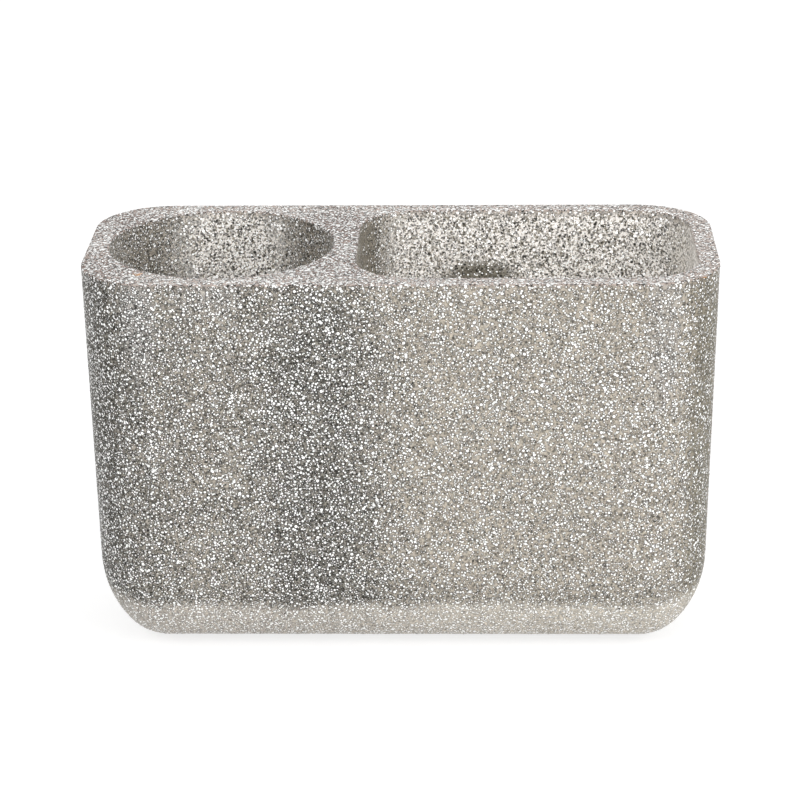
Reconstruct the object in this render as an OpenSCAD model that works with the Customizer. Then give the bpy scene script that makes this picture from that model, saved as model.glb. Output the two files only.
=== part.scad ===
/*
  Two-well toothbrush holder, cast in one block.
  A tall tub with round corners, a slight draft and a deep curved underside
  holds a round well at its left and a wide well at its right.
  It stands on four stick-on pads. The origin is under the block's centre, at the
  bottom of the pads. +X runs to the right, +Y to the back and +Z up.
*/

/* [Block] */
// Length of the block at its top, left to right
body_len = 140; // [118:1:200]
// Depth of the block at its top, front to back
body_depth = 60.5; // [56:0.5:90]
// Height of the block without its pads
body_h = 88; // [60:0.5:130]
// Radius of the upright corners at the top
corner_r = 17; // [15:0.5:24]
// Angle by which the outer walls lean in towards the bottom
body_draft = 1.1; // [0.2:0.1:2]
// Radius of the long curve from a wall towards the underside
sweep_r = 25; // [20:0.5:33]
// Radius of the short curve that ends on the flat underside
heel_r = 10; // [4:0.5:12]
// Angle that the short curve turns through
heel_turn = 50; // [42:1:65]
// Radius of the edges round the top face
rim_r = 0.4; // [0.3:0.1:1.5]

/* [Wells] */
// Thickness of the floor under both wells
floor_t = 10; // [5:0.5:25]
// Wall between a well and the end of the block
end_wall = 4.8; // [3.5:0.1:8]
// Wall in front of and behind the wide well
side_wall = 5.2; // [3.5:0.1:8]
// Wall between the two wells at its thinnest
divider_t = 5.6; // [3:0.1:10]
// Diameter of the round well at its mouth
round_well_d = 50; // [36:0.5:50]
// Corner radius of the wide well at its mouth
wide_corner_r = 13; // [12:0.1:20]
// Angle by which the wells' walls lean in towards the floor
well_draft = 1; // [0.2:0.1:1.5]
// Radius where a well's wall meets its floor
well_floor_r = 8; // [3:0.5:9]

/* [Pads] */
// Diameter of a pad where it sticks to the block
pad_d = 10; // [6:0.5:12]
// Thickness of a pad
pad_t = 1.5; // [1:0.1:3]
// Radius of a pad's lower edge
pad_edge_r = 0.5; // [0.2:0.1:0.8]
// Distance from the flat underside's left and right edges to a pad
pad_inset_x = 6; // [1:0.5:20]
// Distance from the flat underside's front and rear edges to a pad
pad_inset_y = 2.4; // [1:0.1:5]
// Least gap between neighbouring pads, kept where the underside is too narrow for the insets
pad_gap = 0.5; // [0.2:0.1:2]

/* [Hidden] */
$fn = 128;

// How far the wells' cutters rise above the top face
overrun = 2;
// A quarter and a half of a full turn
quarter = 90;
half_turn = 180;
// Largest turn of a curve that one flat stands for
flat_angle = 6;

// Heights above the bottom of the pads
base_z = pad_t;
top_z = base_z + body_h;
floor_z = base_z + floor_t;

// The wells' places along the block
round_well_r = round_well_d / 2;
round_well_x = -body_len / 2 + end_wall + round_well_r;
wide_well_left = round_well_x + round_well_r + divider_t;
wide_well_right = body_len / 2 - end_wall;
wide_well_len = wide_well_right - wide_well_left;
wide_well_x = (wide_well_left + wide_well_right) / 2;
wide_well_depth = body_depth - 2 * side_wall;

// Direction in which the short curve of the underside meets the long one
heel_angle = heel_turn - quarter;

// Unit direction at an angle in the profile plane
function toward(angle) = [cos(angle), sin(angle)];

// Reach of a leaning wall from its axis at height z, where top_r is its reach at the top face
function wall_reach(top_r, lean, z) = top_r - (top_z - z) * tan(lean);

// Centre of the long curve, which touches the leaning wall
function sweep_centre(top_r) =
    let (z = base_z + heel_r + (sweep_r - heel_r) * cos(heel_turn),
         touch_z = z - sweep_r * sin(body_draft))
    [wall_reach(top_r, body_draft, touch_z) - sweep_r * cos(body_draft), z];

// Centre of the short curve, which touches the long one and the flat underside
function heel_centre(top_r) = sweep_centre(top_r) + (sweep_r - heel_r) * toward(heel_angle);

// Centre of the rounded outer edge of the top face
function rim_centre(top_r) =
    let (z = top_z - rim_r, touch_z = z - rim_r * sin(body_draft))
    [wall_reach(top_r, body_draft, touch_z) - rim_r * cos(body_draft), z];

// Centre of the rounded edge at a well's mouth, which lies in the block
function mouth_centre(top_r) =
    let (z = top_z - rim_r, touch_z = z + rim_r * sin(well_draft))
    [wall_reach(top_r, well_draft, touch_z) + rim_r * cos(well_draft), z];

// Centre of the curve between a well's wall and its floor
function well_floor_centre(top_r) =
    let (z = floor_z + well_floor_r, touch_z = z - well_floor_r * sin(well_draft))
    [wall_reach(top_r, well_draft, touch_z) - well_floor_r * cos(well_draft), z];

// Place of a pad's centre beside the middle of the flat underside, set in from its edge
function pad_place(flat_half, inset) = max(flat_half - inset - pad_d / 2, (pad_gap + pad_d) / 2);

// Centres of the pads
flat_reach = heel_centre(corner_r)[0] - corner_r;
pad_x = pad_place(body_len / 2 + flat_reach, pad_inset_x);
pad_y = pad_place(body_depth / 2 + flat_reach, pad_inset_y);

// Points along a curve between two angles, one flat per few degrees
function arc(centre, r, from, to) =
    let (flats = ceil(abs(to - from) / flat_angle))
    [for (i = [0 : flats]) centre + r * toward(from + (to - from) * i / flats)];

// Half section of the block's wall and underside, from a corner's axis outwards
module block_section(top_r) {
    polygon(concat(
        [[0, base_z]],
        arc(heel_centre(top_r), heel_r, -quarter, heel_angle),
        arc(sweep_centre(top_r), sweep_r, heel_angle, -body_draft),
        arc(rim_centre(top_r), rim_r, -body_draft, quarter),
        [[0, top_z]]
    ));
}

// Half section of a well's cutter, flared at the top so that it leaves a rounded mouth
module well_section(top_r) {
    mouth = mouth_centre(top_r);
    polygon(concat(
        [[0, floor_z]],
        arc(well_floor_centre(top_r), well_floor_r, -quarter, -well_draft),
        arc(mouth, rim_r, half_turn - well_draft, quarter),
        [[mouth[0], top_z + overrun], [0, top_z + overrun]]
    ));
}

// Carries a half section round a rectangle with round corners and fills its middle.
// The half lengths run from the centre to the corners' axes.
module carried_round(half_x, half_y, low_z, high_z) {
    translate([-half_x, -half_y, low_z]) cube([2 * half_x, 2 * half_y, high_z - low_z]);
    for (turn = [0 : 3]) {
        along = turn % 2 == 0 ? half_y : half_x;
        across = turn % 2 == 0 ? half_x : half_y;
        rotate(turn * quarter) {
            translate([across, along, 0]) rotate_extrude(angle = quarter) children();
            translate([across, along, 0])
                rotate([quarter, 0, 0])
                    linear_extrude(2 * along) children();
        }
    }
}

module block() {
    carried_round(body_len / 2 - corner_r, body_depth / 2 - corner_r, base_z, top_z)
        block_section(corner_r);
}

module round_well() {
    translate([round_well_x, 0, 0]) rotate_extrude() well_section(round_well_r);
}

module wide_well() {
    translate([wide_well_x, 0, 0])
        carried_round(
            wide_well_len / 2 - wide_corner_r,
            wide_well_depth / 2 - wide_corner_r,
            floor_z,
            top_z + overrun
        )
            well_section(wide_corner_r);
}

// The cast block with both wells open at the top
module body() {
    color([0.55, 0.54, 0.5])
        difference() {
            block();
            round_well();
            wide_well();
        }
}

// A soft disc with a rounded lower edge, stuck to the flat underside
module foot_pad(side_x, side_y) {
    edge_centre = [pad_d / 2 - pad_edge_r, pad_edge_r];
    color([0.8, 0.81, 0.8])
        translate([side_x * pad_x, side_y * pad_y, 0])
            rotate_extrude()
                polygon(concat(
                    [[0, 0]],
                    arc(edge_centre, pad_edge_r, -quarter, 0),
                    [[pad_d / 2, pad_t], [0, pad_t]]
                ));
}

module foot_pad_front_left() {
    foot_pad(-1, -1);
}

module foot_pad_front_right() {
    foot_pad(1, -1);
}

module foot_pad_rear_left() {
    foot_pad(-1, 1);
}

module foot_pad_rear_right() {
    foot_pad(1, 1);
}

body();
foot_pad_front_left();
foot_pad_front_right();
foot_pad_rear_left();
foot_pad_rear_right();
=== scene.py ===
"""Visual model of a two-well toothbrush holder, cast in resin full of silver glitter.

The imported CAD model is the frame. A finer block takes the place of its body: the same
sections carried round the same outlines, with the light that seeps through the resin
kept as attributes. Flakes of glitter lie in its skin, and four soft pads replace the
CAD pads. Sizes inside the classes are millimetres and degrees; meshes are metres.
"""

import json
import logging
import math
from collections.abc import Sequence
from dataclasses import dataclass, field
from enum import Enum

import bpy
import numpy as np
from mathutils import Matrix, Vector
from mathutils.bvhtree import BVHTree
from mathutils.geometry import delaunay_2d_cdt


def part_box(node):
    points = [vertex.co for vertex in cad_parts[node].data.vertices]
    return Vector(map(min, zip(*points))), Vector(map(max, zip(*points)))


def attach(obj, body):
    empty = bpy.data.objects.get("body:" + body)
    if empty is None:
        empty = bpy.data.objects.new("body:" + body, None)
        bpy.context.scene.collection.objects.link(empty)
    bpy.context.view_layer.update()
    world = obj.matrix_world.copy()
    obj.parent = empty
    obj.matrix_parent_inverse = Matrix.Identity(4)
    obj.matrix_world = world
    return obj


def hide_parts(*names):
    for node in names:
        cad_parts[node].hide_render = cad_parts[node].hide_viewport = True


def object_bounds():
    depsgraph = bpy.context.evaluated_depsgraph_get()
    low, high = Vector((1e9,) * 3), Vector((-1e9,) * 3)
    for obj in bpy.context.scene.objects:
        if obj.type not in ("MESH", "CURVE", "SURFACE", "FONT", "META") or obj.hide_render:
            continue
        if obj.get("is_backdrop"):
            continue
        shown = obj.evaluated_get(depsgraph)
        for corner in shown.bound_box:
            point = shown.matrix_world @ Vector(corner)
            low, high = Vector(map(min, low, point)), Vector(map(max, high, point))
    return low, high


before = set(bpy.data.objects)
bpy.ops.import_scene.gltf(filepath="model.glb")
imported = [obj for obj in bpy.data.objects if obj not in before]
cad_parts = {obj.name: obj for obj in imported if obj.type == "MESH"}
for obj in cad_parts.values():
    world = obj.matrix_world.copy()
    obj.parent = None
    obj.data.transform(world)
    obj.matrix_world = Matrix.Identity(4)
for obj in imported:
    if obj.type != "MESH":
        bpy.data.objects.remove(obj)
CAD_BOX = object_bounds()

LOG = logging.getLogger("holder")
BODY = "root"
MM = 0.001
QUARTER = math.pi / 2

Feed = bpy.types.NodeSocket | float | tuple[float, ...] | str
Colour = tuple[float, float, float, float]
BLACK: Colour = (0.0, 0.0, 0.0, 1.0)
WHITE: Colour = (1.0, 1.0, 1.0, 1.0)


class Region(Enum):
    """Parts of the block's surface that look or behave differently."""

    OUTER = "outer"
    WELL = "well"
    RIM = "rim"
    UNDER = "under"


class Slot(Enum):
    """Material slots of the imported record."""

    RESIN = "glitter_resin"
    PAD = "pad_silicone"


def toward(angle: float) -> np.ndarray:
    """Returns the unit direction at an angle in radians."""
    return np.array([math.cos(angle), math.sin(angle)])


def arc(centre: np.ndarray, radius: float, start: float, end: float, spacing: float) -> np.ndarray:
    """Points along a curve of constant radius.

    Args:
        centre: Centre of the curve.
        radius: Its radius.
        start: Angle of the first point in radians.
        end: Angle of the last point in radians.
        spacing: Largest distance between neighbours.

    Returns:
        One row per point.
    """
    least = 5
    steps = max(least, math.ceil(abs(end - start) * radius / spacing))
    return np.array([centre + radius * toward(angle) for angle in np.linspace(start, end, steps + 1)])


def evenly(points: np.ndarray, spacing: float) -> np.ndarray:
    """Adds points where a line's stretches are longer than the spacing.

    Args:
        points: The line's points, one per row.
        spacing: Wanted distance between neighbours.

    Returns:
        The line's old and new points, without repeated ones.
    """
    rows = [points[0]]
    for start, end in zip(points[:-1], points[1:], strict=True):
        gap = float(np.linalg.norm(end - start))
        if gap < MM:
            continue
        steps = max(1, round(gap / spacing))
        rows.extend(start + (end - start) * step / steps for step in range(1, steps + 1))
    return np.array(rows)


def ramp(values: np.ndarray, low: float, high: float) -> np.ndarray:
    """Returns a smooth rise from 0 at low to 1 at high."""
    share = np.clip((values - low) / (high - low), 0.0, 1.0)
    return share * share * (3.0 - 2.0 * share)


def in_scene(name: str, data: bpy.types.ID) -> bpy.types.Object:
    """Makes an object at the origin and links it to the scene."""
    made = bpy.data.objects.new(name, data)
    bpy.context.scene.collection.objects.link(made)
    return made


def new_mesh_object(name: str, points: np.ndarray, faces: Sequence[Sequence[int]]) -> bpy.types.Object:
    """Makes a smooth mesh object at the origin.

    Args:
        name: Name of the object and its mesh.
        points: Vertices in millimetres.
        faces: Vertex indices of each face, anticlockwise from outside.

    Returns:
        The object, linked to the scene.
    """
    mesh = bpy.data.meshes.new(name)
    mesh.from_pydata((points * MM).tolist(), [], [list(face) for face in faces])
    mesh.shade_smooth()
    return in_scene(name, mesh)


def set_attribute(mesh: bpy.types.Mesh, name: str, values: np.ndarray) -> None:
    """Stores one number per vertex under a name."""
    attribute = mesh.attributes.new(name, "FLOAT", "POINT")
    attribute.data.foreach_set("value", values.astype(np.float32))


def hand_over(piece: bpy.types.Object, slot: Slot, replaced: Sequence[str] = ()) -> None:
    """Ties a finished piece to the frame and reports it.

    Args:
        piece: The finished piece.
        slot: Not used.
        replaced: CAD nodes that it stands for.
    """
    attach(piece, BODY)
    if replaced:
        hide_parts(*replaced)
    LOG.info("%s: %d vertices, %d faces", piece.name, len(piece.data.vertices), len(piece.data.polygons))


class Wiring:
    """Places nodes in one tree and joins them."""

    def __init__(self, tree: bpy.types.NodeTree) -> None:
        """Keeps the tree to work in."""
        self.tree = tree

    def feed(self, socket: bpy.types.NodeSocket, feed: Feed) -> None:
        """Joins a socket to an output, or sets its own value."""
        if isinstance(feed, bpy.types.NodeSocket):
            self.tree.links.new(feed, socket)
        else:
            socket.default_value = feed

    def place(
        self, kind: str, feeds: dict[str | int, Feed] | None = None, **settings: object
    ) -> bpy.types.Node:
        """Adds a node.

        Args:
            kind: The node's type name.
            feeds: What goes into its inputs, by name or place.
            settings: Properties of the node.

        Returns:
            The new node.
        """
        node = self.tree.nodes.new(kind)
        for name, value in settings.items():
            setattr(node, name, value)
        self.feed_all(node, feeds or {})
        return node

    def feed_all(self, node: bpy.types.Node, feeds: dict[str | int, Feed]) -> None:
        """Feeds a node's inputs, by name or place."""
        for key, feed in feeds.items():
            self.feed(node.inputs[key], feed)

    def bump(self, height: Feed, strength: float, depth: float) -> Feed:
        """Returns the normal of a height, whose depth is in millimetres."""
        feeds = {"Strength": strength, "Distance": depth * MM, "Height": height}
        return self.place("ShaderNodeBump", feeds).outputs[0]

    def math(self, operation: str, first: Feed, second: Feed = 0.0, clamp: bool = False) -> Feed:
        """Returns the result of a sum on two numbers."""
        feeds = {0: first, 1: second}
        return self.place("ShaderNodeMath", feeds, operation=operation, use_clamp=clamp).outputs[0]

    def product(self, *factors: Feed) -> Feed:
        """Returns all the factors multiplied together."""
        result = factors[0]
        for factor in factors[1:]:
            result = self.math("MULTIPLY", result, factor)
        return result

    def span(
        self, value: Feed, low: Feed, high: Feed, least: Feed = 0.0, most: Feed = 1.0, smooth: bool = True
    ) -> Feed:
        """Carries a number from one range to another.

        Args:
            value: The number.
            low: Value that becomes least.
            high: Value that becomes most.
            least: Result at low.
            most: Result at high.
            smooth: Whether the change eases in and out.

        Returns:
            The result, kept between least and most.
        """
        feeds = {"Value": value, "From Min": low, "From Max": high, "To Min": least, "To Max": most}
        way = "SMOOTHSTEP" if smooth else "LINEAR"
        return self.place("ShaderNodeMapRange", feeds, interpolation_type=way).outputs[0]

    def fade(self, share: Feed, without: float, whole: float, smooth: bool = True) -> Feed:
        """Returns a number that changes from one value without a share to another with all of it."""
        return self.span(share, 0.0, 1.0, without, whole, smooth)

    def blend(self, share: Feed, first: Feed, second: Feed, way: str = "MIX") -> Feed:
        """Returns one colour laid over another by a share."""
        feeds = {0: share, 6: first, 7: second}
        return self.place("ShaderNodeMix", feeds, data_type="RGBA", blend_type=way).outputs[2]

    def attribute(self, name: str) -> Feed:
        """Returns a number kept on the mesh."""
        return self.place("ShaderNodeAttribute", attribute_name=name).outputs["Fac"]

    def group(self, tree: bpy.types.NodeTree, feeds: dict[str | int, Feed]) -> bpy.types.Node:
        """Places a node group with its own values."""
        return self.place("ShaderNodeGroup", feeds, node_tree=tree)


class SharedGroup:
    """A shader node group with named inputs and outputs."""

    KINDS = {float: "NodeSocketFloat", tuple: "NodeSocketVector"}

    def __init__(self, name: str, given: dict[str, Feed], results: Sequence[str]) -> None:
        """Opens an empty group.

        Args:
            name: Name of the group.
            given: Inputs with their usual values.
            results: Names of the outputs, all numbers.
        """
        self.tree = bpy.data.node_groups.new(name, "ShaderNodeTree")
        faces = self.tree.interface
        for label, value in given.items():
            kind = self.KINDS[type(value)]
            faces.new_socket(name=label, in_out="INPUT", socket_type=kind).default_value = value
        for label in results:
            faces.new_socket(name=label, in_out="OUTPUT", socket_type=self.KINDS[float])
        self.wiring = Wiring(self.tree)
        self.given = self.tree.nodes.new("NodeGroupInput").outputs
        self.results = self.tree.nodes.new("NodeGroupOutput").inputs

    def close(self, results: dict[str, Feed]) -> bpy.types.NodeTree:
        """Joins the outputs and returns the finished group."""
        for label, feed in results.items():
            self.wiring.feed(self.results[label], feed)
        return self.tree


def flake_layer() -> bpy.types.NodeTree:
    """Builds the group of round flakes at random places.

    Returns:
        A group with each flake's mask, the dark line round it and its own shade.
    """
    group = SharedGroup(
        "flake_layer",
        {
            "Vector": (0.0, 0.0, 0.0),
            "Shift": 0.0,
            "Cell": 1.2,
            "Share": 0.8,
            "Radius": 0.4,
            "Edge": 0.1,
            "Line": 0.25,
        },
        ("Mask", "Line", "Shade"),
    )
    wiring, given = group.wiring, group.given
    sums = {0: given["Vector"], 1: given["Shift"]}
    moved = wiring.place("ShaderNodeVectorMath", sums, operation="ADD").outputs[0]
    per_mm = wiring.math("DIVIDE", 1.0, given["Cell"])
    cells = wiring.place("ShaderNodeTexVoronoi", {"Vector": moved, "Scale": per_mm})
    # A cell's colour repeats where its point lies in it, so chance is drawn from that colour anew
    drawn = wiring.place("ShaderNodeTexWhiteNoise", {"Vector": cells.outputs["Color"]}).outputs["Color"]
    chance = wiring.place("ShaderNodeSeparateColor", {0: drawn}).outputs
    apart = wiring.math("MULTIPLY", cells.outputs["Distance"], given["Cell"])
    there = wiring.math("LESS_THAN", chance[0], given["Share"])
    smallest, largest = 0.55, 1.2
    radius = wiring.product(given["Radius"], wiring.fade(chance[1], smallest, largest))
    beyond = wiring.math("SUBTRACT", apart, radius)
    disc = wiring.span(beyond, given["Edge"], 0.0)
    line = wiring.math("SUBTRACT", wiring.span(beyond, given["Line"], 0.0), disc, clamp=True)
    shapes = {"Mask": wiring.product(disc, there), "Line": wiring.product(line, there)}
    return group.close({**shapes, "Shade": chance[2]})


def cloud() -> bpy.types.NodeTree:
    """Builds the group of soft uneven patches.

    Returns:
        A group whose output drifts between its two given values.
    """
    group = SharedGroup(
        "cloud",
        {"Vector": (0.0, 0.0, 0.0), "Size": 5.0, "Detail": 2.0, "Low": 0.0, "High": 1.0},
        ("Value",),
    )
    wiring, given = group.wiring, group.given
    per_mm = wiring.math("DIVIDE", 1.0, given["Size"])
    feeds = {"Vector": given["Vector"], "Scale": per_mm, "Detail": given["Detail"]}
    noise = wiring.place("ShaderNodeTexNoise", feeds).outputs["Fac"]
    calm, lively = 0.28, 0.72
    value = wiring.span(noise, calm, lively, given["Low"], given["High"], smooth=False)
    return group.close({"Value": value})


def millimetres(wiring: Wiring) -> Feed:
    """Returns the object's own coordinates in millimetres."""
    place = wiring.place("ShaderNodeTexCoord").outputs["Object"]
    scaled = wiring.place("ShaderNodeVectorMath", {0: place, "Scale": 1.0 / MM}, operation="SCALE")
    return scaled.outputs[0]


def emptied(owner: bpy.types.Material | bpy.types.World) -> Wiring:
    """Clears the nodes of a material or a world and returns their wiring."""
    owner.use_nodes = True
    owner.node_tree.nodes.clear()
    return Wiring(owner.node_tree)


def new_material(name: str) -> tuple[bpy.types.Material, Wiring, bpy.types.Node]:
    """Returns an empty material, its wiring and its one Principled shader."""
    material = bpy.data.materials.new(name)
    wiring = emptied(material)
    shader = wiring.place("ShaderNodeBsdfPrincipled")
    wiring.place("ShaderNodeOutputMaterial", {"Surface": shader.outputs[0]})
    return material, wiring, shader


@dataclass(frozen=True)
class Mottle:
    """Soft uneven patches of one size in millimetres, which drift between two values."""

    size: float
    low: float = 0.0
    high: float = 1.0
    detail: float = 3.0

    def place(self, wiring: Wiring, clouds: bpy.types.NodeTree, where: Feed) -> Feed:
        """Returns the drifting value at a place."""
        feeds = {"Vector": where, "Size": self.size, "Detail": self.detail}
        return wiring.group(clouds, {**feeds, "Low": self.low, "High": self.high}).outputs["Value"]


@dataclass(frozen=True)
class FlakeLayer:
    """Round flakes at one depth of the resin."""

    shift: float
    cell: float
    radius: float
    edge: float = 0.025
    line: float = 0.3

    def place(
        self, wiring: Wiring, flakes: bpy.types.NodeTree, where: Feed, share: Feed, swell: Feed = 1.0
    ) -> dict[str, Feed]:
        """Places the layer's nodes.

        Args:
            wiring: The material's wiring.
            flakes: The group of round flakes.
            where: Coordinates in millimetres.
            share: How many cells hold a flake.
            swell: Factor on the flakes' radius.

        Returns:
            The group's outputs by name.
        """
        feeds = {"Vector": where, "Shift": self.shift, "Cell": self.cell, "Share": share}
        sizes = {"Radius": wiring.product(self.radius, swell), "Edge": self.edge, "Line": self.line}
        return wiring.group(flakes, {**feeds, **sizes}).outputs


@dataclass(frozen=True)
class SoftPatch:
    """An oval patch on one side of the block, with a soft edge."""

    middle: tuple[float, float]
    half: tuple[float, float]
    behind: bool
    edges: tuple[float, float] = (1.4, 0.35)

    def share(self, wiring: Wiring, axes: Sequence[Feed]) -> Feed:
        """Returns how much a point belongs to the patch.

        Args:
            wiring: The material's wiring.
            axes: The point's three coordinates.

        Returns:
            The share, 1 in the patch's middle.
        """
        squares = []
        for axis, middle, half in zip((0, 2), self.middle, self.half, strict=True):
            away = wiring.math("DIVIDE", wiring.math("SUBTRACT", axes[axis], middle), half)
            squares.append(wiring.product(away, away))
        near = wiring.span(wiring.math("ADD", *squares), *self.edges)
        return wiring.product(near, wiring.math("GREATER_THAN" if self.behind else "LESS_THAN", axes[1], 0.0))


class ResinZones:
    """How much a point of the block belongs to each of its zones.

    Pairs give where a zone's share starts to grow and where it is whole: places along the
    block in millimetres, or amounts of seeping light. The drifts make two edges uneven.
    """

    THIN = (0.02, 0.19)
    THIN_DRIFT = Mottle(7.0, -0.03, 0.03, detail=4.0)
    DIM_LEFT = (-35.0, 5.0)
    DIMMEST = 0.74
    LEFT_END = (-59.5, -64.5)
    RIGHT_END = (59.5, 66.0)
    MILKY_RIGHT = 0.8
    WIDE_LEFT = -12.0
    WIDE_MIDDLE = 27.8
    WIDE_ENDS = (32.5, 36.5)
    LIT = (0.06, 0.26)
    FOOT_FADE = 2.2
    FOOT_DRIFT = Mottle(8.0, -0.9, 0.9, detail=4.0)
    FOOT_RISE = (54.0, 68.0, 0.0, 1.5)

    def __init__(self, wiring: Wiring, clouds: bpy.types.NodeTree, foot_top: float) -> None:
        """Works out the shares.

        Args:
            wiring: The material's wiring.
            clouds: The group of soft patches.
            foot_top: Height of the paler band along the foot.
        """
        self.where = millimetres(wiring)
        self.axes = wiring.place("ShaderNodeSeparateXYZ", {0: self.where}).outputs
        along, _, height = self.axes
        self.inner, self.rim, self.glow = (wiring.attribute(name) for name in ("inner", "rim", "glow"))
        self.outer = wiring.math("SUBTRACT", 1.0, self.inner)
        dimmed = wiring.product(self.glow, wiring.span(along, *self.DIM_LEFT, self.DIMMEST, 1.0))
        uneven = wiring.math("ADD", dimmed, self.THIN_DRIFT.place(wiring, clouds, self.where))
        self.thin = wiring.span(uneven, *self.THIN, smooth=False)
        self.left_end = wiring.span(along, *self.LEFT_END)
        self.right_end = wiring.span(along, *self.RIGHT_END)
        self.ends = wiring.math("ADD", self.left_end, self.right_end)
        self.clear = wiring.math("MAXIMUM", self.thin, wiring.product(self.right_end, self.MILKY_RIGHT))
        self.lit_well = wiring.product(wiring.span(self.glow, *self.LIT), self.inner)
        off_middle = wiring.math("ABSOLUTE", wiring.math("SUBTRACT", along, self.WIDE_MIDDLE))
        in_wide = wiring.math("GREATER_THAN", along, self.WIDE_LEFT)
        self.quiet = wiring.product(wiring.span(off_middle, *self.WIDE_ENDS), in_wide, self.inner)
        uneven = wiring.math("ADD", height, self.FOOT_DRIFT.place(wiring, clouds, self.where))
        rise = wiring.span(wiring.math("ABSOLUTE", along), *self.FOOT_RISE)
        lowered = wiring.math("SUBTRACT", uneven, rise)
        band = wiring.span(lowered, foot_top + self.FOOT_FADE, foot_top - self.FOOT_FADE)
        self.foot = wiring.product(band, self.outer)


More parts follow.
